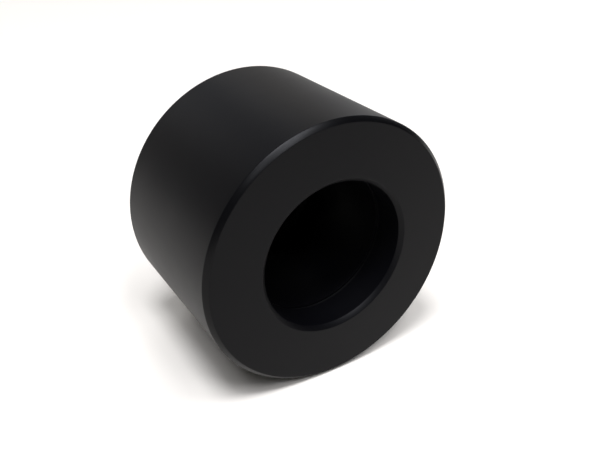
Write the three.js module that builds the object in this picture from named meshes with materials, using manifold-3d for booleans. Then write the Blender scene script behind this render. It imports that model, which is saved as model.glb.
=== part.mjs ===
// Small snubbing winch for a sailing boat: a plain black drum that turns one way on a fixed hollow stem.
// Millimetres, +Z up along the drum's axis. The origin is the centre of the base, on the deck.

import * as THREE from 'three';
import * as BufferGeometryUtils from 'three/addons/utils/BufferGeometryUtils.js';
import Module from 'manifold-3d';

// ---- driving dimensions ----

// drum
const drumRadius = 30;
const drumLength = 40.5;
const outerEdgeBreak = 0.95;
const boreEdgeBreak = 0.9;
const lipThickness = 8; // end wall of the drum, over the top of the stem
const skirtWall = 1.2; // drum wall around the retaining plate

// clearances
const deckClearance = 0.8; // drum above the deck
const seatClearance = 0.3; // round a piece that sits in a recess
const runningPlay = 0.15; // between pieces that turn past each other
const raceClearance = 0.15; // between a roller and each raceway

// retaining plate, ratchet ring and the screws that clamp both to the drum
const plateThickness = 1.5;
const plateLift = 0.2; // plate above the drum's lower edge
const plateCatch = 1.8; // how far the plate reaches under the stem flange
const ringAboveFlange = 0.1; // ratchet ring's top above the flange that holds the pawls
const ringLand = 0.65; // between a screw hole and the tooth roots
const toothCount = 24;
const toothDepth = 1.1;
const screwCount = 6;
const screwRadius = 1;
const screwHeadRadius = 1.9;
const screwHeadDepth = 0.9;
const screwLength = 12;
const screwHeadLand = 0.2; // plate outside the screw head
const screwHoleClearance = 0.15;
const screwTipRoom = 1; // drilled depth beyond the screw's tip
const hexKeyRadius = 0.75;
const hexKeyDepth = 0.55;

// stem
const stemWall = 2.6;
const floorThickness = 4.5;
const floorBevel = 1;
const flangeThickness = 4.4;
const flangeClearance = 0.5; // between the flange and the tooth tips
const raceStep = 0.25; // raceway outside the flange
const bossClearance = 0.5; // between the base boss and the plate
const bossEdgeBreak = 0.4;
const mountHoleCount = 4;
const mountHoleRadius = 2.75;
const mountHeadRadius = 4.9;
const mountHeadDepth = 2.3;
const mountHeadLand = 0.25;

// thrust washers, pawl cover and bearing spacer
const upperWasherThickness = 0.65;
const upperWasherPlay = 0.25;
const upperWasherInset = 0.4;
const lowerWasherThickness = 0.8;
const lowerWasherPlay = 0.3;
const coverThickness = 0.6;
const spacerHeight = 3;

// caged roller bearings
const rollerRadius = 1.85;
const rollersPerCage = 10;
const cageRail = 1.3; // solid ring above and below the windows
const cageClearance = 0.45; // between a cage and each raceway
const windowClearance = 0.2;
const rollerEdgeBreak = 0.25;

// pawls and their springs
const pawlCount = 3;
const pawlPivotRadius = 1.35;
const pawlPivotDepth = 2.05; // pivot centre inside the flange's rim
const pawlNoseOut = -0.6; // the nose's two sides, measured inwards from the pawl's centre line
const pawlNoseIn = 1.2;
const pawlRootGap = 0.3; // nose below the tooth root when engaged
const pawlFaceGap = 0.75; // nose end to the tooth's steep face, enough for the pawl to lift past it
const pawlSpan = THREE.MathUtils.degToRad(20); // from nose to pivot, about the drum's axis
const pawlLift = THREE.MathUtils.degToRad(10); // swing between engaged and clear of the passing teeth
const pawlFloor = 0.8; // flange left under the pawl pockets
const pocketClearance = 0.2;
const springWire = 0.17; // wire radius
const springRadius = 0.75; // coil radius at the wire's centre
const springTurns = 4;
const springLength = 1.8; // with the pawl pushed in
const springAlong = 5.4; // distance from the pivot
const springHoleClearance = 0.2;

// fineness of round faces
const drumSides = 48;
const smallSides = 12;
const springStepsPerTurn = 10;
const springSides = 5;
const overshoot = 1; // how far cutters pass beyond a face

// ---- sizes that follow ----

const totalHeight = deckClearance + drumLength;
const counterboreRadius = drumRadius - skirtWall;
const plateRadius = counterboreRadius - seatClearance;
const screwCircle = plateRadius - screwHeadLand - screwHeadRadius;
const screwHoleRadius = screwRadius + screwHoleClearance;
const toothRoot = screwCircle - screwHoleRadius - ringLand;
const toothTip = toothRoot - toothDepth;
const flangeRadius = toothTip - flangeClearance;
const drumRaceway = flangeRadius + raceStep;
const stemRadius = drumRaceway - 2 * (raceClearance + rollerRadius);
const boreRadius = stemRadius - stemWall;
const plateHoleRadius = flangeRadius - plateCatch;
const bossRadius = plateHoleRadius - bossClearance;

const plateBottom = deckClearance + plateLift;
const plateTop = plateBottom + plateThickness;
const flangeBottom = plateTop + lowerWasherPlay + lowerWasherThickness;
const flangeTop = flangeBottom + flangeThickness;
const ringTop = flangeTop + ringAboveFlange;
const coverTop = flangeTop + coverThickness;
const lipUnderside = totalHeight - lipThickness;
const stemTop = lipUnderside - upperWasherPlay - upperWasherThickness;
const bearingBottom = coverTop + runningPlay;
const bearingTop = lipUnderside - runningPlay;
const cageHeight = (bearingTop - bearingBottom - spacerHeight) / 2 - runningPlay;
const rollerCircle = (stemRadius + drumRaceway) / 2;
const windowHeight = cageHeight - 2 * cageRail;
const rollerLength = windowHeight - 2 * windowClearance;
const mountCircle = boreRadius - floorBevel - mountHeadLand - mountHeadRadius;

const pawlBottom = flangeBottom + pawlFloor + runningPlay;
const pawlThickness = flangeTop - runningPlay - pawlBottom;
const pawlPivotCircle = flangeRadius - pawlPivotDepth;
const pawlNoseRadius = toothRoot - pawlRootGap;
const springStart = pawlNoseIn + seatClearance + springWire; // inwards from the pawl's centre line

// ---- materials ----

function finish(color, roughness, metalness) {
  return new THREE.MeshStandardMaterial({ color, roughness, metalness });
}

const anodised = { color: '#1b1c1f', roughness: 0.45, metalness: 0.6 };
const steel = { color: '#a9abad', roughness: 0.3, metalness: 1 };
const bronze = { color: '#9c7a48', roughness: 0.4, metalness: 1 };
const acetal = { color: '#141414', roughness: 0.5, metalness: 0 };

// ---- geometry helpers ----

const wasm = await Module();
wasm.setup();

// Turns a closed (radius, height) outline, listed anticlockwise, about +Z.
function turned(outline, sides = drumSides) {
  const points = outline.map(([radius, height]) => new THREE.Vector2(radius, height));
  const onAxis = outline[0][0] === 0 && outline[outline.length - 1][0] === 0;
  if (!onAxis) points.push(points[0].clone());
  return new THREE.LatheGeometry(points, sides).rotateX(Math.PI / 2);
}

// A flat ring between two radii and two heights.
function ring(inner, outer, bottom, top) {
  return turned([[inner, bottom], [outer, bottom], [outer, top], [inner, top]]);
}

// A round pin on the axis at (x, y).
function pin(radius, bottom, top, x = 0, y = 0, sides = smallSides) {
  return turned([[0, bottom], [radius, bottom], [radius, top], [0, top]], sides).translate(x, y, 0);
}

// A straight-sided block with the given outline, from bottom to top.
function block(outline, bottom, top, holes = []) {
  const shape = new THREE.Shape(outline.map(([x, y]) => new THREE.Vector2(x, y)));
  shape.holes = holes.map((hole) => new THREE.Path(hole.map(([x, y]) => new THREE.Vector2(x, y))));
  const geometry = new THREE.ExtrudeGeometry(shape, { depth: top - bottom, bevelEnabled: false });
  return geometry.translate(0, 0, bottom);
}

// The geometry as a solid that can be joined and cut.
function solid(geometry) {
  const bare = geometry.clone();
  bare.deleteAttribute('normal');
  bare.deleteAttribute('uv');
  const merged = BufferGeometryUtils.mergeVertices(bare);
  const corners = merged.index.array;
  const kept = [];
  for (let i = 0; i < corners.length; i += 3) {
    const [a, b, c] = corners.slice(i, i + 3);
    if (a !== b && b !== c && c !== a) kept.push(a, b, c);
  }
  return new wasm.Manifold(new wasm.Mesh({
    numProp: 3,
    vertProperties: merged.attributes.position.array,
    triVerts: new Uint32Array(kept),
  }));
}

function geometryOf(piece) {
  const mesh = piece.getMesh();
  const geometry = new THREE.BufferGeometry();
  geometry.setAttribute('position', new THREE.BufferAttribute(mesh.vertProperties, 3));
  geometry.setIndex(new THREE.BufferAttribute(mesh.triVerts, 1));
  geometry.computeVertexNormals();
  return geometry;
}

function cut(geometry, cutters) {
  return geometryOf(cutters.reduce((left, cutter) => left.subtract(solid(cutter)), solid(geometry)));
}

function onCircle(radius, angle) {
  return [radius * Math.cos(angle), radius * Math.sin(angle)];
}

// Calls make(angle, index) at equal steps round the axis.
function around(count, make) {
  return Array.from({ length: count }, (_, index) => make((index * 2 * Math.PI) / count, index));
}

function circle(radius, sides, [x, y] = [0, 0]) {
  return around(sides, (angle) => [x + radius * Math.cos(angle), y + radius * Math.sin(angle)]);
}

function named(name, geometry, look) {
  const mesh = new THREE.Mesh(geometry, finish(look.color, look.roughness, look.metalness));
  mesh.name = name;
  return mesh;
}

// ---- drum ----

// The drum is one turned piece: a plain barrel with a thick end wall and a bore, hollowed from below.
function drumGeometry() {
  const outline = [
    [counterboreRadius, deckClearance],
    [drumRadius - outerEdgeBreak, deckClearance],
    [drumRadius, deckClearance + outerEdgeBreak],
    [drumRadius, totalHeight - outerEdgeBreak],
    [drumRadius - outerEdgeBreak, totalHeight],
    [boreRadius + boreEdgeBreak, totalHeight],
    [boreRadius, totalHeight - boreEdgeBreak],
    [boreRadius, lipUnderside],
    [drumRaceway, lipUnderside],
    [drumRaceway, ringTop],
    [counterboreRadius, ringTop],
  ];
  const holeTop = plateBottom + screwLength + screwTipRoom;
  const holes = around(screwCount, (angle) =>
    pin(screwHoleRadius, ringTop - overshoot, holeTop, ...onCircle(screwCircle, angle)));
  return cut(turned(outline), holes);
}

// ---- ratchet ring: internal saw teeth, steep on the side that meets the pawl's nose ----

function ratchetRingGeometry() {
  const pitch = (2 * Math.PI) / toothCount;
  const steepFace = -pawlSpan - pawlFaceGap / pawlNoseRadius;
  const teeth = around(toothCount, (angle) => {
    const start = steepFace + angle;
    const rampMiddle = (toothRoot + toothTip) / 2;
    return [onCircle(toothTip, start), onCircle(toothRoot, start), onCircle(rampMiddle, start + pitch / 2)];
  }).flat();
  const screwHoles = around(screwCount, (angle) =>
    circle(screwHoleRadius, smallSides, onCircle(screwCircle, angle)));
  return block(circle(plateRadius, drumSides), plateTop, ringTop, [teeth, ...screwHoles]);
}

// ---- retaining plate: holds the drum down on the stem flange ----

function retainingPlateGeometry() {
  const headTop = plateBottom + screwHeadDepth + screwHoleClearance;
  const holes = around(screwCount, (angle) => turned([
    [0, plateBottom - overshoot],
    [screwHeadRadius + screwHoleClearance, plateBottom - overshoot],
    [screwHeadRadius + screwHoleClearance, plateBottom + screwHoleClearance],
    [screwHoleRadius, headTop],
    [screwHoleRadius, plateTop + overshoot],
    [0, plateTop + overshoot],
  ], smallSides).translate(...onCircle(screwCircle, angle), 0));
  return cut(ring(plateHoleRadius, plateRadius, plateBottom, plateTop), holes);
}

function plateScrewGeometry() {
  const body = turned([
    [0, 0],
    [screwHeadRadius, 0],
    [screwRadius, screwHeadDepth],
    [screwRadius, screwLength],
    [0, screwLength],
  ], smallSides);
  return cut(body, [pin(hexKeyRadius, -overshoot, hexKeyDepth, 0, 0, 6)]);
}

// ---- pawls ----

// Where a pawl lies when it is engaged, with its pivot on the +X side of the drum's axis.
function pawlPlace() {
  const pivot = new THREE.Vector2(pawlPivotCircle, 0);
  const nose = new THREE.Vector2(...onCircle(pawlNoseRadius, -pawlSpan));
  const reach = nose.clone().sub(pivot);
  const length = Math.sqrt(reach.lengthSq() - pawlNoseOut ** 2);
  const direction = reach.angle() - Math.atan2(-pawlNoseOut, length);
  return { length, direction };
}

// A pawl's outline with its pivot at the origin and its length along +X. Its inner side is -Y.
function pawlOutline(grown = 0) {
  const { length, direction } = pawlPlace();
  const radial = -pawlSpan - direction; // the drum's radius at the nose, seen in the pawl's own axes
  const slope = Math.cos(radial) / Math.sin(radial);
  const outer = [length + grown, -pawlNoseOut + grown];
  const inner = [length + grown - (pawlNoseIn - pawlNoseOut) * slope, -pawlNoseIn - grown];
  const back = Array.from({ length: 9 }, (_, i) => {
    const angle = Math.PI / 2 + (Math.PI * i) / 8;
    return onCircle(pawlPivotRadius + grown, angle);
  });
  return [inner, outer, ...back];
}

// The pawl's pocket: the room it sweeps between engaged and pushed in, open through the flange's rim.
function pocketSolid() {
  const top = flangeTop;
  const bottom = flangeBottom + pawlFloor;
  const { direction } = pawlPlace();
  const swept = [0, 0.5, 1].map((share) =>
    solid(block(pawlOutline(pocketClearance), bottom, top).rotateZ(direction - share * pawlLift)));
  const springEnd = springStart + springLength + springWire + seatClearance;
  const springHole = pin(springRadius + springWire + springHoleClearance, 0, springEnd)
    .rotateX(Math.PI / 2)
    .translate(springAlong, 0, (bottom + top) / 2)
    .rotateZ(direction - pawlLift);
  return [...swept, solid(springHole)]
    .reduce((whole, piece) => whole.add(piece))
    .translate([pawlPivotCircle, 0, 0]);
}

class CoilPath extends THREE.Curve {
  getPoint(t, target = new THREE.Vector3()) {
    const angle = t * springTurns * 2 * Math.PI;
    return target.set(springRadius * Math.cos(angle), -t * springLength, springRadius * Math.sin(angle));
  }
}

function pawlSpringGeometry() {
  const wire = new THREE.Shape(circle(springWire, springSides).map(([x, y]) => new THREE.Vector2(x, y)));
  return new THREE.ExtrudeGeometry(wire, {
    extrudePath: new CoilPath(),
    steps: springTurns * springStepsPerTurn,
    bevelEnabled: false,
  });
}

// ---- stem: a fixed cup with a thick floor, a base boss on the deck and a flange that carries the pawls ----

function stemGeometry() {
  const outline = [
    [0, 0],
    [bossRadius - bossEdgeBreak, 0],
    [bossRadius, bossEdgeBreak],
    [bossRadius, flangeBottom],
    [flangeRadius, flangeBottom],
    [flangeRadius, flangeTop],
    [stemRadius, flangeTop],
    [stemRadius, stemTop],
    [boreRadius, stemTop],
    [boreRadius, floorThickness + floorBevel],
    [boreRadius - floorBevel, floorThickness],
    [0, floorThickness],
  ];
  const mountHoles = around(mountHoleCount, (angle) => turned([
    [0, -overshoot],
    [mountHoleRadius, -overshoot],
    [mountHoleRadius, floorThickness - mountHeadDepth],
    [mountHeadRadius, floorThickness],
    [mountHeadRadius, floorThickness + overshoot],
    [0, floorThickness + overshoot],
  ], smallSides + 4).translate(...onCircle(mountCircle, angle), 0));
  const drilled = solid(cut(turned(outline), mountHoles));
  const pockets = around(pawlCount, (angle) => pocketSolid().rotate([0, 0, THREE.MathUtils.radToDeg(angle)]));
  return geometryOf(pockets.reduce((left, pocket) => left.subtract(pocket), drilled));
}

// ---- caged roller bearings ----

function cageGeometry() {
  const inner = stemRadius + cageClearance;
  const outer = drumRaceway - cageClearance;
  const width = 2 * (rollerRadius + windowClearance);
  const windows = around(rollersPerCage, (angle) =>
    new THREE.BoxGeometry(drumRaceway - stemRadius, width, windowHeight)
      .translate(rollerCircle, 0, cageHeight / 2)
      .rotateZ(angle));
  return cut(ring(inner, outer, 0, cageHeight), windows);
}

function rollerGeometry() {
  return turned([
    [0, 0],
    [rollerRadius - rollerEdgeBreak, 0],
    [rollerRadius, rollerEdgeBreak],
    [rollerRadius, rollerLength - rollerEdgeBreak],
    [rollerRadius - rollerEdgeBreak, rollerLength],
    [0, rollerLength],
  ], smallSides);
}

function bearing(row, bottom) {
  const group = new THREE.Group();
  group.position.z = bottom;
  group.add(named(`${row}_bearing_cage`, cageGeometry(), acetal));
  around(rollersPerCage, (angle, index) => {
    const roller = named(`${row}_roller_${index + 1}`, rollerGeometry(), steel);
    roller.position.set(...onCircle(rollerCircle, angle), cageRail + windowClearance);
    group.add(roller);
  });
  return group;
}

// ---- the winch ----

const winch = new THREE.Group();

const drum = new THREE.Group();
drum.add(
  named('drum', drumGeometry(), anodised),
  named('ratchet_ring', ratchetRingGeometry(), steel),
  named('retaining_plate', retainingPlateGeometry(), anodised),
);
around(screwCount, (angle, index) => {
  const screw = named(`plate_screw_${index + 1}`, plateScrewGeometry(), steel);
  screw.position.set(...onCircle(screwCircle, angle), plateBottom);
  drum.add(screw);
});
const spacerBottom = bearingBottom + cageHeight + runningPlay;
drum.add(named(
  'bearing_spacer',
  ring(stemRadius + seatClearance, drumRaceway - seatClearance, spacerBottom, spacerBottom + spacerHeight),
  acetal,
));

const stem = new THREE.Group();
const upperWasherInner = boreRadius + upperWasherInset;
const upperWasherOuter = stemRadius - upperWasherInset;
stem.add(
  named('stem', stemGeometry(), anodised),
  named(
    'upper_thrust_washer',
    ring(upperWasherInner, upperWasherOuter, stemTop, stemTop + upperWasherThickness),
    acetal,
  ),
  named(
    'lower_thrust_washer',
    ring(bossRadius + seatClearance, flangeRadius, flangeBottom - lowerWasherThickness, flangeBottom),
    acetal,
  ),
  named('pawl_cover', ring(stemRadius + seatClearance, flangeRadius, flangeTop, coverTop), steel),
);

// Each pawl lies in its flange pocket, pushed in as a passing tooth holds it, with its spring behind it.
around(pawlCount, (angle, index) => {
  const station = new THREE.Group();
  station.rotation.z = angle;
  const pivot = new THREE.Group();
  pivot.position.set(pawlPivotCircle, 0, pawlBottom);
  pivot.rotation.z = pawlPlace().direction - pawlLift;
  const pawl = named(`pawl_${index + 1}`, block(pawlOutline(), 0, pawlThickness), bronze);
  const spring = named(`pawl_spring_${index + 1}`, pawlSpringGeometry(), steel);
  spring.position.set(springAlong, -springStart, pawlThickness / 2);
  pivot.add(pawl, spring);
  station.add(pivot);
  stem.add(station);
});

winch.add(
  stem,
  drum,
  bearing('lower', bearingBottom),
  bearing('upper', spacerBottom + spacerHeight + runningPlay),
);

export default winch;
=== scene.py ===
# A small snubbing winch for a sailing boat. Metres, +Z along the drum's axis, origin at the centre of the
# base. The winch lies on its side for its picture: the table is the plane that touches the drum at -X.

import math

import bpy
from mathutils import Matrix, Vector


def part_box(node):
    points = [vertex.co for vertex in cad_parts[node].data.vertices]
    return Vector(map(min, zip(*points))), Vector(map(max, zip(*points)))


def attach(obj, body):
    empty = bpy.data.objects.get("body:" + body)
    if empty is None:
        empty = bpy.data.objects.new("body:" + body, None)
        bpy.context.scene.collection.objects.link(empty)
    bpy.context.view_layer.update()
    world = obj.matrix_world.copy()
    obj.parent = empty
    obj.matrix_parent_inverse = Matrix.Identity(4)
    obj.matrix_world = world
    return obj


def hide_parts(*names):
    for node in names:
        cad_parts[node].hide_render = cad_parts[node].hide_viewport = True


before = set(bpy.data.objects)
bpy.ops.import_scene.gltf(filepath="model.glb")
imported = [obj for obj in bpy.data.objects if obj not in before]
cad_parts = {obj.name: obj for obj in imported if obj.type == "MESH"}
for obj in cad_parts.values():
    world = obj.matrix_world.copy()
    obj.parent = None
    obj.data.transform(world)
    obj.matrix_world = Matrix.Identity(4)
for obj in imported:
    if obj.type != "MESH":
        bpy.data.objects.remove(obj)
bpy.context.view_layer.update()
MM = 0.001

# ---- camera ----
# A phone at close range, a little above the winch and to one side of its open end.

drum_low, drum_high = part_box("drum")
drum_radius = drum_high.x
drum_top = drum_high.z
drum_bottom = drum_low.z

VIEW_PITCH = math.radians(28.9)
VIEW_TURN = math.radians(31.7)
VIEW_DISTANCE = 145.5 * MM
FRAME_LEFT = 7.7 * MM  # the picture's centre is this far to the left of the end face's centre
FRAME_ABOVE = 6.6 * MM
LENS = 42.4

table_up = Vector((1, 0, 0))
level_forward = Vector((0, -math.sin(VIEW_TURN), -math.cos(VIEW_TURN)))
forward = level_forward * math.cos(VIEW_PITCH) - table_up * math.sin(VIEW_PITCH)
right = level_forward.cross(table_up)
picture_up = right.cross(forward)
aim = Vector((0, 0, drum_top)) - right * FRAME_LEFT + picture_up * FRAME_ABOVE

camera_data = bpy.data.cameras.new("camera")
camera_data.lens = LENS
camera_data.clip_start = 5 * MM
camera = bpy.data.objects.new("camera", camera_data)
camera.matrix_world = Matrix.Translation(aim - forward * VIEW_DISTANCE) @ Matrix(
    (right, picture_up, -forward)).transposed().to_4x4()
bpy.context.scene.collection.objects.link(camera)
bpy.context.scene.camera = camera
bpy.context.scene.view_settings.view_transform = "Standard"

# ---- table, light and surroundings ----
# A pale laminate table top in a plain pale room. A group of round lamps hangs on the near side, high up,
# and a window and pale walls behind the winch light the top and the far side of its barrel.


def paint(hex_value):
    """A linear colour from an sRGB hex value such as "1b1c1f"."""
    channels = [int(hex_value[i:i + 2], 16) / 255 for i in (0, 2, 4)]
    return (*[c / 12.92 if c <= 0.04045 else ((c + 0.055) / 1.055) ** 2.4 for c in channels], 1)


def add(material, kind, sockets=None, **settings):
    """Adds a node with its settings. A socket takes a value, or (node, output) for a link."""
    node = material.node_tree.nodes.new(kind)
    for key, value in settings.items():
        setattr(node, key, value)
    for socket, source in (sockets or {}).items():
        if isinstance(source, tuple) and isinstance(source[0], bpy.types.Node):
            material.node_tree.links.new(source[0].outputs[source[1]], node.inputs[socket])
        else:
            node.inputs[socket].default_value = source
    return node


def new_material(name):
    """An empty node material and its output node."""
    material = bpy.data.materials.new(name)
    material.use_nodes = True
    material.node_tree.nodes.clear()
    return material, add(material, "ShaderNodeOutputMaterial")


def join(material, source, output, target, socket):
    material.node_tree.links.new(source.outputs[output], target.inputs[socket])


# White laminate with a fine grain: it spreads the light evenly and mirrors nothing. Its underside is left
# clear, so that the winch can be seen from below.

TABLE_SIZE = 4
bpy.ops.object.select_all(action="DESELECT")
bpy.ops.mesh.primitive_plane_add(
    size=TABLE_SIZE, location=(-drum_radius, 0, drum_top / 2), rotation=(0, math.pi / 2, 0))
table = bpy.context.object
table.name = "table"
white_laminate, output = new_material("white_laminate")
coords = add(white_laminate, "ShaderNodeTexCoord")
grain = add(white_laminate, "ShaderNodeTexNoise", {
    "Vector": (coords, "Object"), "Scale": 900.0, "Detail": 3.0})
grain_bump = add(white_laminate, "ShaderNodeBump", {
    "Strength": 0.05, "Distance": 0.02 * MM, "Height": (grain, "Fac")})
laminate = add(white_laminate, "ShaderNodeBsdfPrincipled", {
    "Base Color": paint("fdf8ee"), "Roughness": 0.6, "IOR": 1.45, "Normal": (grain_bump, "Normal")})
clear = add(white_laminate, "ShaderNodeBsdfTransparent")
facing = add(white_laminate, "ShaderNodeNewGeometry")
one_sided = add(white_laminate, "ShaderNodeMixShader", {0: (facing, "Backfacing")})
join(white_laminate, laminate, "BSDF", one_sided, 1)
join(white_laminate, clear, "BSDF", one_sided, 2)
join(white_laminate, one_sided, "Shader", output, "Surface")
table.data.materials.append(white_laminate)

world = bpy.data.worlds.new("pale_room")
bpy.context.scene.world = world
world.use_nodes = True
dim_room = world.node_tree.nodes["Background"]
dim_room.inputs["Color"].default_value = paint("f4f2ee")
dim_room.inputs["Strength"].default_value = 0.02
pale_wall = add(world, "ShaderNodeBackground", {"Color": paint("f4f2ee"), "Strength": 0.9})
seen = add(world, "ShaderNodeLightPath")
wall_or_room = add(world, "ShaderNodeMixShader", {0: (seen, "Is Camera Ray")})
join(world, dim_room, "Background", wall_or_room, 1)
join(world, pale_wall, "Background", wall_or_room, 2)
join(world, wall_or_room, "Shader", world.node_tree.nodes["World Output"], "Surface")

LIGHT_DISTANCE = 1.8
LAMP_SIZE = 0.5
WINDOW_SIZE = 1.26


def soft_light(name, height, bearing, watts, tint, size):
    """A round light aimed at the winch. Height and bearing in degrees; bearing 0 is behind it, 90 right."""
    data = bpy.data.lights.new(name, "AREA")
    data.shape = "DISK"
    data.size = size
    data.energy = watts
    data.color = paint(tint)[:3]
    lamp = bpy.data.objects.new(name, data)
    rise, turn = math.radians(height), math.radians(bearing)
    level = level_forward * math.cos(turn) + right * math.sin(turn)
    middle = Vector((0, 0, drum_top / 2))
    spot = middle + (level * math.cos(rise) + table_up * math.sin(rise)) * LIGHT_DISTANCE
    aimed = (middle - spot).to_track_quat("-Z", "Y").to_matrix().to_4x4()
    lamp.matrix_world = Matrix.Translation(spot) @ aimed
    lamp.visible_camera = False
    bpy.context.scene.collection.objects.link(lamp)


soft_light("near_lamp", 72, 188, 22.0, "f5f7ff", LAMP_SIZE)
soft_light("near_lamp_left", 64, 224, 3.9, "f5f7ff", LAMP_SIZE)
soft_light("near_lamp_right", 69, 130, 8.8, "f5f7ff", LAMP_SIZE)
soft_light("low_lamp_right", 54, 150, 7.8, "f5f7ff", LAMP_SIZE)
soft_light("low_lamp", 46, 182, 2.8, "f5f7ff", LAMP_SIZE)
soft_light("window", 25, 30, 7.9, "f4f7ff", WINDOW_SIZE)
soft_light("window_left", 25, 330, 2.0, "f4f7ff", WINDOW_SIZE)
soft_light("rear_wall", 12, 0, 1.9, "fffaf4", WINDOW_SIZE)
soft_light("rear_wall_left", 12, 315, 1.9, "fffaf4", WINDOW_SIZE)
soft_light("rear_wall_high", 38, 0, 1.7, "fffaf4", WINDOW_SIZE)

# ---- drum ----
# One piece turned from aluminium bar: a plain barrel with a thick end wall and a bore through it.
# It is bead blasted and hard anodised black. The 45 degree edge breaks are turned last, before the
# anodising, so they are smoother and shine more than the blasted faces.

TURN_STEPS = 160
SMALL_TURN_STEPS = 32
POINT_MERGE = 0.0005 * MM
SEAM_MERGE = 0.001 * MM
CORNER_REACH = 0.3 * MM
LONG_SIDE = 5 * CORNER_REACH
OUTER_EDGE_BREAK = 0.95 * MM
BORE_EDGE_BREAK = 0.9 * MM
DRUM_ROUNDING = 0.07 * MM
STEM_WALL = 2.6 * MM
WASHER_INSET = 0.4 * MM  # the upper washer is this much narrower than the stem's wall on both sides
WASHER_GAP = 0.25 * MM
FIT_GAP = 0.3 * MM
upper_washer_low, upper_washer_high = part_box("upper_thrust_washer")
stem_radius = upper_washer_high.x + WASHER_INSET
stem_top = upper_washer_low.z
bore_radius = stem_radius - STEM_WALL
lip_underside = upper_washer_high.z + WASHER_GAP
raceway_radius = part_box("bearing_spacer")[1].x + FIT_GAP
counterbore_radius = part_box("retaining_plate")[1].x + FIT_GAP
ring_low, ring_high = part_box("ratchet_ring")


def select_none():
    bpy.ops.object.select_all(action="DESELECT")


def drawn(name, points, closed):
    """An edge drawn through (x, y, z) points, left in edit mode with all of it selected."""
    select_none()
    bpy.ops.mesh.primitive_plane_add(size=2 * MM, location=(0, 0, 0))
    piece = bpy.context.object
    piece.name = piece.data.name = name
    bpy.ops.object.mode_set(mode="EDIT")
    bpy.ops.mesh.merge(type="CENTER")
    bpy.ops.transform.translate(value=points[0])
    for here, there in zip(points, points[1:] + points[:1] * closed):
        step = Vector(there) - Vector(here)
        bpy.ops.mesh.extrude_region_move(TRANSFORM_OT_translate={"value": step})
    bpy.ops.mesh.select_all(action="SELECT")
    bpy.ops.mesh.remove_doubles(threshold=POINT_MERGE)
    return piece


def held(outline):
    """The outline with a point near both ends of each long side, so that softened corners leave it flat."""
    points = []
    for here, there in zip(outline, outline[1:] + outline[:1]):
        side = Vector(there) - Vector(here)
        points.append(here)
        if side.length > LONG_SIDE and here[0] + there[0] > 0:
            points.append(tuple(Vector(here) + side.normalized() * CORNER_REACH))
            points.append(tuple(Vector(there) - side.normalized() * CORNER_REACH))
    return points


def turned(name, outline, steps=TURN_STEPS):
    """A piece turned on the lathe: a (radius, height) outline, anticlockwise, spun about the axis."""
    on_axis = outline[0][0] == 0 and outline[-1][0] == 0
    piece = drawn(name, [(radius, 0, height) for radius, height in outline], not on_axis)
    bpy.ops.mesh.spin(steps=steps, angle=2 * math.pi, center=(0, 0, 0), axis=(0, 0, 1))
    bpy.ops.mesh.select_all(action="SELECT")
    bpy.ops.mesh.remove_doubles(threshold=SEAM_MERGE)
    bpy.ops.mesh.normals_make_consistent(inside=False)
    bpy.ops.object.mode_set(mode="OBJECT")
    return piece


def placed(piece, matrix):
    """Moves the piece's mesh and leaves its object at the origin."""
    piece.data.transform(matrix)
    return piece


def at(x, y, z):
    return Matrix.Translation((x, y, z))


def on_circle(radius, angle, height=0.0):
    return at(radius * math.cos(angle), radius * math.sin(angle), height)


def copies(model, name, matrices):
    """Copies of one finished model, each with its own mesh, placed by the matrices. The model is removed."""
    made = []
    for number, matrix in enumerate(matrices, 1):
        twin = bpy.data.objects.new(f"{name}_{number}", model.data.copy())
        twin.data.name = twin.name
        bpy.context.scene.collection.objects.link(twin)
        made.append(placed(twin, matrix))
    bpy.data.objects.remove(model)
    return made


def round_axis(count, start=0.0):
    """Angles at equal steps round the axis."""
    return [start + 2 * math.pi * step / count for step in range(count)]


def cut(piece, cutters):
    """Machines the cutters' shapes out of the piece. This solver leaves the same closed piece each time."""
    for cutter in cutters:
        select_none()
        bpy.context.view_layer.objects.active = piece
        difference = piece.modifiers.new("cut", "BOOLEAN")
        difference.operation = "DIFFERENCE"
        difference.solver = "MANIFOLD"
        difference.object = cutter
        bpy.ops.object.modifier_apply(modifier=difference.name)
        bpy.data.objects.remove(cutter)


def soften(piece, width, segments=2, angle=25):
    """Rounds the sharp edges a little and shades the rest smooth."""
    select_none()
    piece.select_set(True)
    bpy.context.view_layer.objects.active = piece
    bevel = piece.modifiers.new("edges", "BEVEL")
    bevel.width = width
    bevel.segments = segments
    bevel.limit_method = "ANGLE"
    bevel.angle_limit = math.radians(angle)
    bpy.ops.object.modifier_apply(modifier=bevel.name)
    bpy.ops.object.shade_smooth_by_angle(angle=math.radians(30))


def finish(piece, material, body, node):
    """Gives the piece its finish, in place of the empty one that a cut leaves, and its CAD node's place."""
    piece.data.materials.clear()
    piece.data.materials.append(material)
    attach(piece, body)
    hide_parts(node)


def drilled_holes(count, circle, outline, steps=SMALL_TURN_STEPS):
    """Cutters for equal holes on a circle, each turned from a (radius, height) outline."""
    hole = turned("hole", outline, steps)
    return copies(hole, "hole", [on_circle(circle, angle) for angle in round_axis(count)])


PLATE_SCREWS = 6
SCREW_LENGTH = 12 * MM
SCREW_HOLE_RADIUS = 1.15 * MM
DRILL_OVERLAP = 0.4 * MM
DRILL_SPARE = 1 * MM
DRILL_TIP = 0.6 * MM
screw_head_low, screw_head_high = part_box("plate_screw_1")
screw_circle = (screw_head_low.x + screw_head_high.x) / 2
screw_seat = screw_head_low.z

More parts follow.
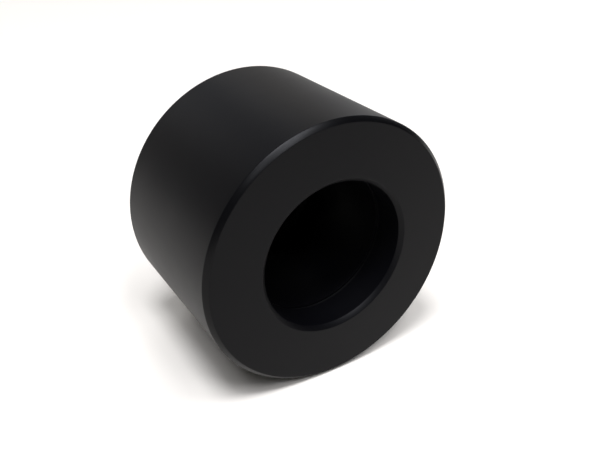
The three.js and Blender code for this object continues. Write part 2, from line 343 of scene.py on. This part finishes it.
drum = turned("drum_barrel", held([
    (counterbore_radius, drum_bottom),
    (drum_radius - OUTER_EDGE_BREAK, drum_bottom),
    (drum_radius, drum_bottom + OUTER_EDGE_BREAK),
    (drum_radius, drum_top - OUTER_EDGE_BREAK),
    (drum_radius - OUTER_EDGE_BREAK, drum_top),
    (bore_radius + BORE_EDGE_BREAK, drum_top),
    (bore_radius, drum_top - BORE_EDGE_BREAK),
    (bore_radius, lip_underside),
    (raceway_radius, lip_underside),
    (raceway_radius, ring_high.z),
    (counterbore_radius, ring_high.z),
]))
cut(drum, drilled_holes(PLATE_SCREWS, screw_circle, [
    (0, ring_high.z - DRILL_OVERLAP),
    (SCREW_HOLE_RADIUS, ring_high.z - DRILL_OVERLAP),
    (SCREW_HOLE_RADIUS, screw_seat + SCREW_LENGTH + DRILL_SPARE),
    (0, screw_seat + SCREW_LENGTH + DRILL_SPARE + DRILL_TIP),
]))
soften(drum, DRUM_ROUNDING)

# Hard anodised aluminium, bead blasted: near black, a soft satin sheen, faint clouds of 17 mm from the bath.
# The blast's 0.05 mm pits are drawn at 0.25 mm so that they show. Where it was turned after the blasting
# it is smoother, and light gathers in a narrow streak.

PIT_SIZE = 0.25 * MM


def anodised(name, dark, light, sheen, roughest, smoothest, pit_height):
    """Black anodised aluminium, with its tone between two colours and its roughness between two values."""
    material, surface = new_material(name)
    coords = add(material, "ShaderNodeTexCoord")
    pits = add(material, "ShaderNodeTexNoise", {
        "Vector": (coords, "Object"), "Scale": 1 / PIT_SIZE, "Detail": 4.0, "Roughness": 0.6})
    dents = add(material, "ShaderNodeBump", {
        "Strength": 0.12, "Distance": pit_height, "Height": (pits, "Fac")})
    cloud = add(material, "ShaderNodeTexNoise", {
        "Vector": (coords, "Object"), "Scale": 60.0, "Detail": 5.0, "Roughness": 0.55})
    satin = add(material, "ShaderNodeMapRange", {
        "Value": (cloud, "Fac"), "From Min": 0.3, "From Max": 0.7, "To Min": smoothest, "To Max": roughest})
    tone = add(material, "ShaderNodeMix", {
        0: (cloud, "Fac"), 6: paint(dark), 7: paint(light)}, data_type="RGBA")
    oxide = add(material, "ShaderNodeBsdfPrincipled", {
        "Base Color": (tone, 2), "Roughness": (satin, 0), "IOR": 1.5, "Specular IOR Level": sheen,
        "Normal": (dents, "Normal")})
    join(material, oxide, "BSDF", surface, "Surface")
    return material


EDGE_BREAK_DEPTH = 1.2 * MM
blasted_anodise = anodised(
    "black_hard_anodised_aluminium", dark="040406", light="060609",
    sheen=0.12, roughest=0.47, smoothest=0.43, pit_height=0.02 * MM)
turned_anodise = anodised(
    "black_anodise_on_a_turned_edge", dark="040405", light="070709",
    sheen=0.14, roughest=0.36, smoothest=0.3, pit_height=0.008 * MM)


def on_edge_break(face):
    """True for a face of the drum's two outer edge breaks: tilted, and close to the barrel."""
    return 0.5 < abs(face.normal.z) < 0.9 and face.center.xy.length > drum_radius - EDGE_BREAK_DEPTH


finish(drum, blasted_anodise, "drum", "drum")
drum.data.materials.append(turned_anodise)
for face in drum.data.polygons:
    if on_edge_break(face):
        face.material_index = 1

# ---- stem ----
# The fixed part, turned from the same aluminium: a cup with a floor that is screwed to the deck, a thin
# wall that the bearings run on, and a flange with three milled pockets for the pawls.

FLOOR_THICKNESS = 4.5 * MM
FLOOR_BEVEL = 1 * MM
BOSS_STEP = 2.3 * MM
BOSS_EDGE_BREAK = 0.4 * MM
STEM_ROUNDING = 0.06 * MM
CUT_PAST = 1 * MM  # a cutter runs this far past the faces it cuts through
MOUNT_HOLES = 4
MOUNT_CIRCLE = 10.5 * MM
MOUNT_HOLE_RADIUS = 2.75 * MM
MOUNT_HEAD_RADIUS = 4.9 * MM
MOUNT_HEAD_DEPTH = 2.3 * MM
MOUNT_STEPS = 48
lower_washer_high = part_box("lower_thrust_washer")[1]
flange_radius = lower_washer_high.x
flange_bottom = lower_washer_high.z
flange_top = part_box("pawl_cover")[0].z
boss_radius = flange_radius - BOSS_STEP

PAWLS = 3
PAWL_SPAN = math.radians(20)
PAWL_SWING = math.radians(10)
PAWL_BACK_RADIUS = 1.35 * MM
PAWL_OUTER_SIDE = 0.6 * MM
PAWL_INNER_SIDE = 1.2 * MM
PIVOT_INSET = 2.05 * MM
NOSE_REACH = 1.3 * MM
HEEL_STEPS = 16
POCKET_CLEARANCE = 0.2 * MM
POCKET_FLOOR_GAP = 0.15 * MM
POCKET_CUT_PAST = 0.5 * MM
SPRING_ALONG = 5.4 * MM
SPRING_START = 1.67 * MM
SPRING_LENGTH = 1.8 * MM
SPRING_RADIUS = 0.75 * MM
SPRING_WIRE_RADIUS = 0.17 * MM
SPRING_TURNS = 4
SPRING_STEPS = 24
SPRING_HOLE_GAP = 0.2 * MM
SPRING_END_GAP = 0.3 * MM
pawl_low, pawl_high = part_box("pawl_1")
pivot_circle = flange_radius - PIVOT_INSET
nose_radius = flange_radius + NOSE_REACH
pivot = Vector((pivot_circle, 0))
reach = Vector((nose_radius * math.cos(PAWL_SPAN), -nose_radius * math.sin(PAWL_SPAN))) - pivot
pawl_length = math.sqrt(reach.length_squared - PAWL_OUTER_SIDE ** 2)
engaged = math.atan2(reach.y, reach.x) - math.atan2(PAWL_OUTER_SIDE, pawl_length)
pushed_in = engaged - PAWL_SWING


def pawl_outline(grown=0.0):
    """A pawl seen from above, anticlockwise, with its pivot at the origin and its nose along +X."""
    slope = 1 / math.tan(-PAWL_SPAN - engaged)
    tip = pawl_length + grown
    heel_radius = PAWL_BACK_RADIUS + grown
    heel = [math.pi / 2 + math.pi * step / HEEL_STEPS for step in range(HEEL_STEPS + 1)]
    return [
        (tip - (PAWL_INNER_SIDE + PAWL_OUTER_SIDE) * slope, -PAWL_INNER_SIDE - grown),
        (tip, PAWL_OUTER_SIDE + grown),
        *[(heel_radius * math.cos(angle), heel_radius * math.sin(angle)) for angle in heel],
    ]


def prism(name, outline, bottom, top):
    """A straight-sided piece with an (x, y) outline, anticlockwise, from bottom to top."""
    piece = drawn(name, [(x, y, bottom) for x, y in outline], True)
    bpy.ops.mesh.edge_face_add()
    bpy.ops.mesh.extrude_region_move(TRANSFORM_OT_translate={"value": (0, 0, top - bottom)})
    bpy.ops.mesh.select_all(action="SELECT")
    bpy.ops.mesh.normals_make_consistent(inside=False)
    bpy.ops.object.mode_set(mode="OBJECT")
    return piece


def pawl_station(angle, swing):
    """Places a piece made in a pawl's own axes at its pivot, turned to that swing."""
    return Matrix.Rotation(angle, 4, "Z") @ at(pivot_circle, 0, 0) @ Matrix.Rotation(swing, 4, "Z")


stem = turned("stem_cup", held([
    (0, 0),
    (boss_radius - BOSS_EDGE_BREAK, 0),
    (boss_radius, BOSS_EDGE_BREAK),
    (boss_radius, flange_bottom),
    (flange_radius, flange_bottom),
    (flange_radius, flange_top),
    (stem_radius, flange_top),
    (stem_radius, stem_top),
    (bore_radius, stem_top),
    (bore_radius, FLOOR_THICKNESS + FLOOR_BEVEL),
    (bore_radius - FLOOR_BEVEL, FLOOR_THICKNESS),
    (0, FLOOR_THICKNESS),
]))
cut(stem, drilled_holes(MOUNT_HOLES, MOUNT_CIRCLE, [
    (0, -CUT_PAST),
    (MOUNT_HOLE_RADIUS, -CUT_PAST),
    (MOUNT_HOLE_RADIUS, FLOOR_THICKNESS - MOUNT_HEAD_DEPTH),
    (MOUNT_HEAD_RADIUS, FLOOR_THICKNESS),
    (MOUNT_HEAD_RADIUS, FLOOR_THICKNESS + CUT_PAST),
    (0, FLOOR_THICKNESS + CUT_PAST),
], MOUNT_STEPS))
pocket_bottom = pawl_low.z - POCKET_FLOOR_GAP
spring_height = (pocket_bottom + flange_top) / 2
pocket = prism("pocket", pawl_outline(POCKET_CLEARANCE), pocket_bottom, flange_top + POCKET_CUT_PAST)
cut(stem, copies(pocket, "pocket", [
    pawl_station(angle, engaged - share * PAWL_SWING)
    for angle in round_axis(PAWLS) for share in (0, 0.5, 1)]))
spring_hole_radius = SPRING_RADIUS + SPRING_WIRE_RADIUS + SPRING_HOLE_GAP
spring_hole_end = SPRING_START + SPRING_LENGTH + SPRING_WIRE_RADIUS + SPRING_END_GAP
spring_hole = turned("spring_hole", [
    (0, 0), (spring_hole_radius, 0), (spring_hole_radius, spring_hole_end), (0, spring_hole_end),
], SPRING_STEPS)
inwards = at(SPRING_ALONG, 0, spring_height) @ Matrix.Rotation(math.pi / 2, 4, "X")
cut(stem, copies(spring_hole, "spring_hole", [
    pawl_station(angle, pushed_in) @ inwards for angle in round_axis(PAWLS)]))
soften(stem, STEM_ROUNDING)
finish(stem, blasted_anodise, "stem", "stem")

# ---- pawls ----
# Three aluminium bronze pawls, sawn from drawn bar of their own section and deburred. The round heel
# turns in its pocket, and the square nose catches the ratchet teeth. The drawn bronze is a dull warm
# gold, with fine lines along the bar and a little tarnish.

PAWL_ROUNDING = 0.08 * MM
bar_bronze, surface = new_material("drawn_aluminium_bronze")
coords = add(bar_bronze, "ShaderNodeTexCoord")
stretch = add(bar_bronze, "ShaderNodeMapping", {"Vector": (coords, "Object"), "Scale": (1.0, 1.0, 0.12)})
draw_lines = add(bar_bronze, "ShaderNodeTexNoise", {
    "Vector": (stretch, "Vector"), "Scale": 2600.0, "Detail": 3.0})
tarnish = add(bar_bronze, "ShaderNodeTexNoise", {"Vector": (coords, "Object"), "Scale": 350.0, "Detail": 4.0})
bronze_tone = add(bar_bronze, "ShaderNodeMix", {
    0: (tarnish, "Fac"), 6: paint("b8945a"), 7: paint("9c7a44")}, data_type="RGBA")
bronze_rough = add(bar_bronze, "ShaderNodeMapRange", {
    "Value": (draw_lines, "Fac"), "To Min": 0.28, "To Max": 0.42})
bronze_bump = add(bar_bronze, "ShaderNodeBump", {
    "Strength": 0.15, "Distance": 0.02 * MM, "Height": (draw_lines, "Fac")})
metal = add(bar_bronze, "ShaderNodeBsdfPrincipled", {
    "Base Color": (bronze_tone, 2), "Metallic": 1.0, "Roughness": (bronze_rough, 0),
    "Normal": (bronze_bump, "Normal")})
join(bar_bronze, metal, "BSDF", surface, "Surface")

pawl_model = prism("pawl", pawl_outline(), pawl_low.z, pawl_high.z)
soften(pawl_model, PAWL_ROUNDING)
stations = [pawl_station(angle, pushed_in) for angle in round_axis(PAWLS)]
for number, pawl in enumerate(copies(pawl_model, "pawl_bar", stations), 1):
    finish(pawl, bar_bronze, f"pawl_{number}", f"pawl_{number}")

# ---- pawl springs ----
# Small compression springs of 0.34 mm stainless wire, one in a drilled hole behind each pawl. Machined
# stainless steel is a bright light grey, with fine scratches every way, drawn 0.3 mm apart so that they
# show, and duller patches from handling.

ground_steel, surface = new_material("machined_stainless_steel")
coords = add(ground_steel, "ShaderNodeTexCoord")
scratches = add(ground_steel, "ShaderNodeTexNoise", {
    "Vector": (coords, "Object"), "Scale": 3000.0, "Detail": 5.0, "Roughness": 0.65})
handling = add(ground_steel, "ShaderNodeTexNoise", {
    "Vector": (coords, "Object"), "Scale": 180.0, "Detail": 3.0})
steel_tone = add(ground_steel, "ShaderNodeMix", {
    0: (handling, "Fac"), 6: paint("bfc0c2"), 7: paint("a9abad")}, data_type="RGBA")
steel_rough = add(ground_steel, "ShaderNodeMapRange", {
    "Value": (scratches, "Fac"), "To Min": 0.2, "To Max": 0.36})
steel_bump = add(ground_steel, "ShaderNodeBump", {
    "Strength": 0.1, "Distance": 0.01 * MM, "Height": (scratches, "Fac")})
metal = add(ground_steel, "ShaderNodeBsdfPrincipled", {
    "Base Color": (steel_tone, 2), "Metallic": 1.0, "Roughness": (steel_rough, 0),
    "Normal": (steel_bump, "Normal")})
join(ground_steel, metal, "BSDF", surface, "Surface")

WIRE_SIDES = 10
select_none()
bpy.ops.mesh.primitive_circle_add(
    vertices=WIRE_SIDES, radius=SPRING_WIRE_RADIUS, rotation=(math.pi / 2, 0, 0))
wire = bpy.context.object
bpy.ops.object.transform_apply(location=True, rotation=True, scale=True)
bpy.ops.object.mode_set(mode="EDIT")
bpy.ops.mesh.select_all(action="SELECT")
bpy.ops.transform.translate(value=(SPRING_RADIUS, 0, 0))
bpy.ops.object.mode_set(mode="OBJECT")
coil = wire.modifiers.new("coil", "SCREW")
coil.angle = SPRING_TURNS * 2 * math.pi
coil.screw_offset = SPRING_LENGTH
coil.steps = coil.render_steps = SPRING_TURNS * SPRING_STEPS
bpy.ops.object.modifier_apply(modifier=coil.name)
bpy.ops.object.mode_set(mode="EDIT")
bpy.ops.mesh.select_mode(type="EDGE")
bpy.ops.mesh.select_all(action="DESELECT")
bpy.ops.mesh.select_non_manifold()
bpy.ops.mesh.fill_holes(sides=0)
bpy.ops.mesh.select_all(action="SELECT")
bpy.ops.mesh.normals_make_consistent(inside=False)
bpy.ops.mesh.select_mode(type="VERT")
bpy.ops.object.mode_set(mode="OBJECT")
bpy.ops.object.shade_smooth_by_angle(angle=math.radians(50))
behind_pawl = at(SPRING_ALONG, -SPRING_START, spring_height) @ Matrix.Rotation(math.pi / 2, 4, "X")
spring_places = [station @ behind_pawl for station in stations]
for number, spring in enumerate(copies(wire, "spring_wire", spring_places), 1):
    finish(spring, ground_steel, "stem", f"pawl_spring_{number}")

# ---- thrust washers and bearing spacer ----
# Turned from black acetal rod: one washer on the stem's top under the drum's end wall, one between the
# stem's flange and the retaining plate, and a ring that keeps the two bearings apart. Acetal is a waxy
# deep black, with fine rings from the tool.

WASHER_ROUNDING = 0.1 * MM
SPACER_ROUNDING = 0.2 * MM
black_acetal, surface = new_material("turned_black_acetal")
coords = add(black_acetal, "ShaderNodeTexCoord")
tool_marks = add(black_acetal, "ShaderNodeTexWave", {
    "Vector": (coords, "Object"), "Scale": 900.0, "Distortion": 0.4, "Detail": 1.0},
    wave_type="RINGS", rings_direction="Z")
swirl = add(black_acetal, "ShaderNodeTexNoise", {"Vector": (coords, "Object"), "Scale": 500.0, "Detail": 3.0})
marks_bump = add(black_acetal, "ShaderNodeBump", {
    "Strength": 0.15, "Distance": 0.01 * MM, "Height": (tool_marks, "Fac")})
acetal_tone = add(black_acetal, "ShaderNodeMix", {
    0: (swirl, "Fac"), 6: paint("0a0a0b"), 7: paint("101011")}, data_type="RGBA")
acetal_rough = add(black_acetal, "ShaderNodeMapRange", {
    "Value": (swirl, "Fac"), "To Min": 0.42, "To Max": 0.58})
resin = add(black_acetal, "ShaderNodeBsdfPrincipled", {
    "Base Color": (acetal_tone, 2), "Roughness": (acetal_rough, 0), "IOR": 1.48, "Specular IOR Level": 0.3,
    "Normal": (marks_bump, "Normal")})
join(black_acetal, resin, "BSDF", surface, "Surface")


def flat_ring(name, inner, node, rounding):
    """A turned ring as tall and as wide as its CAD node, with its edges rounded."""
    low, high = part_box(node)
    outer = high.x
    ring = turned(name, held([(inner, low.z), (outer, low.z), (outer, high.z), (inner, high.z)]))
    soften(ring, rounding)
    return ring


upper_washer = flat_ring(
    "upper_washer_ring", bore_radius + WASHER_INSET, "upper_thrust_washer", WASHER_ROUNDING)
finish(upper_washer, black_acetal, "stem", "upper_thrust_washer")
lower_washer = flat_ring("lower_washer_ring", boss_radius + FIT_GAP, "lower_thrust_washer", WASHER_ROUNDING)
finish(lower_washer, black_acetal, "stem", "lower_thrust_washer")
spacer = flat_ring("spacer_ring", stem_radius + FIT_GAP, "bearing_spacer", SPACER_ROUNDING)
finish(spacer, black_acetal, "drum", "bearing_spacer")

# ---- pawl cover ----
# A thin stainless ring that lies on the flange, keeps the pawls in their pockets and carries the lower
# bearing's cage.

COVER_ROUNDING = 0.06 * MM
cover = flat_ring("pawl_cover_ring", stem_radius + FIT_GAP, "pawl_cover", COVER_ROUNDING)
finish(cover, ground_steel, "stem", "pawl_cover")

# ---- ratchet ring ----
# Stainless ring with 24 internal saw teeth, cut on a shaper and hardened. Six screws clamp it in the
# drum's counterbore.

TEETH = 24
TOOTH_DEPTH = 1.1 * MM
TOOTH_LEAD = 0.75 * MM  # how far an engaged pawl's nose stands from the steep side of its tooth
BLANK_STOCK = 1.5 * MM  # the blank reaches this far inside the tips of the teeth
RATCHET_ROUNDING = 0.05 * MM
tooth_root = nose_radius + FIT_GAP
tooth_tip = tooth_root - TOOTH_DEPTH
steep_face = -PAWL_SPAN - TOOTH_LEAD / nose_radius
tooth_gaps = []
for angle in round_axis(TEETH, steep_face):
    for radius, ahead in ((tooth_tip, 0), (tooth_root, 0), ((tooth_root + tooth_tip) / 2, math.pi / TEETH)):
        tooth_gaps.append((radius * math.cos(angle + ahead), radius * math.sin(angle + ahead)))
ring_outer = counterbore_radius - FIT_GAP
inside = tooth_tip - BLANK_STOCK
ratchet = turned("ratchet_ring_body", [
    (inside, ring_low.z), (ring_outer, ring_low.z), (ring_outer, ring_high.z), (inside, ring_high.z)])
cut(ratchet, [prism("teeth", tooth_gaps, ring_low.z - CUT_PAST, ring_high.z + CUT_PAST)])
cut(ratchet, drilled_holes(PLATE_SCREWS, screw_circle, [
    (0, ring_low.z - CUT_PAST),
    (SCREW_HOLE_RADIUS, ring_low.z - CUT_PAST),
    (SCREW_HOLE_RADIUS, ring_high.z + CUT_PAST),
    (0, ring_high.z + CUT_PAST),
]))
soften(ratchet, RATCHET_ROUNDING)
finish(ratchet, ground_steel, "drum", "ratchet_ring")

# ---- retaining plate ----
# A flat aluminium ring in the mouth of the drum's skirt. It reaches under the stem's flange, so the drum
# can't lift off. It is anodised like the drum, and its screw holes are countersunk.

SCREW_HEAD_RADIUS = 1.9 * MM
SCREW_HEAD_DEPTH = 0.9 * MM
HEAD_GAP = 0.15 * MM
PLATE_OVERLAP = 1.8 * MM
PLATE_ROUNDING = 0.06 * MM
plate_low, plate_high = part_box("retaining_plate")
plate_inner = flange_radius - PLATE_OVERLAP
plate = turned("retaining_plate_ring", held([
    (plate_inner, plate_low.z),
    (ring_outer, plate_low.z),
    (ring_outer, plate_high.z),
    (plate_inner, plate_high.z),
]))
countersink = SCREW_HEAD_RADIUS + HEAD_GAP
cut(plate, drilled_holes(PLATE_SCREWS, screw_circle, [
    (0, plate_low.z - CUT_PAST),
    (countersink, plate_low.z - CUT_PAST),
    (countersink, plate_low.z + HEAD_GAP),
    (SCREW_HOLE_RADIUS, plate_low.z + SCREW_HEAD_DEPTH + HEAD_GAP),
    (SCREW_HOLE_RADIUS, plate_high.z + CUT_PAST),
    (0, plate_high.z + CUT_PAST),
]))
soften(plate, PLATE_ROUNDING)
finish(plate, blasted_anodise, "drum", "retaining_plate")

# ---- plate screws ----
# Six M2 countersunk stainless screws with hex sockets, up through the plate and the ratchet ring into
# tapped holes in the drum.

SCREW_RADIUS = 1 * MM
HEAD_EDGE = 0.1 * MM
PLAIN_SHANK = 0.5 * MM
SCREW_ROUNDING = 0.03 * MM
THREAD_LEAD = 0.1 * MM
THREAD_PITCH = 0.4 * MM
THREAD_DEPTH = 0.12 * MM
HEX_RADIUS = 0.75 * MM
HEX_DEPTH = 0.55 * MM
thread = []
crest = SCREW_HEAD_DEPTH + PLAIN_SHANK + THREAD_LEAD
while crest < SCREW_LENGTH - THREAD_PITCH:
    thread += [(SCREW_RADIUS - THREAD_DEPTH, crest), (SCREW_RADIUS, crest + THREAD_PITCH / 2)]
    crest += THREAD_PITCH
screw_model = turned("screw", [
    (0, 0),
    (SCREW_HEAD_RADIUS - HEAD_EDGE, 0),
    (SCREW_HEAD_RADIUS, HEAD_EDGE),
    (SCREW_RADIUS, SCREW_HEAD_DEPTH),
    (SCREW_RADIUS, SCREW_HEAD_DEPTH + PLAIN_SHANK),
    *thread,
    (SCREW_RADIUS - THREAD_DEPTH, SCREW_LENGTH),
    (0, SCREW_LENGTH),
], SMALL_TURN_STEPS)
select_none()
bpy.ops.mesh.primitive_cylinder_add(vertices=6, radius=HEX_RADIUS, depth=2 * HEX_DEPTH, location=(0, 0, 0))
cut(screw_model, [bpy.context.object])
soften(screw_model, SCREW_ROUNDING, segments=1, angle=40)
screw_places = [on_circle(screw_circle, angle, screw_seat) for angle in round_axis(PLATE_SCREWS)]
for number, screw in enumerate(copies(screw_model, "countersunk_screw", screw_places), 1):
    finish(screw, ground_steel, "drum", f"plate_screw_{number}")

# ---- caged roller bearings ----
# Two rows of ten stainless rollers, each row in a black acetal cage with milled windows. They run on the
# stem's wall and in the drum's bore.

ROLLERS = 10
ROLLER_RADIUS = 1.85 * MM
CAGE_RAIL = 1.3 * MM
CAGE_CLEARANCE = 0.45 * MM
WINDOW_CLEARANCE = 0.2 * MM
ROLLER_EDGE_BREAK = 0.25 * MM
CAGE_ROUNDING = 0.12 * MM
ROLLER_ROUNDING = 0.05 * MM
roller_circle = (stem_radius + raceway_radius) / 2
for row in ("lower", "upper"):
    cage_low, cage_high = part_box(f"{row}_bearing_cage")
    inner = stem_radius + CAGE_CLEARANCE
    outer = raceway_radius - CAGE_CLEARANCE
    cage = turned(f"{row}_cage_ring", held([
        (inner, cage_low.z), (outer, cage_low.z), (outer, cage_high.z), (inner, cage_high.z)]))
    middle_height = (cage_low.z + cage_high.z) / 2
    window = (raceway_radius - stem_radius, 2 * (ROLLER_RADIUS + WINDOW_CLEARANCE),
              cage_high.z - cage_low.z - 2 * CAGE_RAIL)
    select_none()
    bpy.ops.mesh.primitive_cube_add(size=1, location=(0, 0, 0))
    cutter = placed(bpy.context.object, Matrix.Diagonal((*window, 1)))
    cut(cage, copies(cutter, "window", [
        Matrix.Rotation(angle, 4, "Z") @ at(roller_circle, 0, middle_height)
        for angle in round_axis(ROLLERS)]))
    soften(cage, CAGE_ROUNDING)
    finish(cage, black_acetal, f"{row}_bearing_cage", f"{row}_bearing_cage")
    low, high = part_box(f"{row}_roller_1")
    roller_model = turned("roller", [
        (0, low.z),
        (ROLLER_RADIUS - ROLLER_EDGE_BREAK, low.z),
        (ROLLER_RADIUS, low.z + ROLLER_EDGE_BREAK),
        (ROLLER_RADIUS, high.z - ROLLER_EDGE_BREAK),
        (ROLLER_RADIUS - ROLLER_EDGE_BREAK, high.z),
        (0, high.z),
    ], SMALL_TURN_STEPS)
    soften(roller_model, ROLLER_ROUNDING)
    roller_places = [on_circle(roller_circle, angle) for angle in round_axis(ROLLERS)]
    for number, roller in enumerate(copies(roller_model, f"{row}_steel_roller", roller_places), 1):
        finish(roller, ground_steel, f"{row}_roller_{number}", f"{row}_roller_{number}")
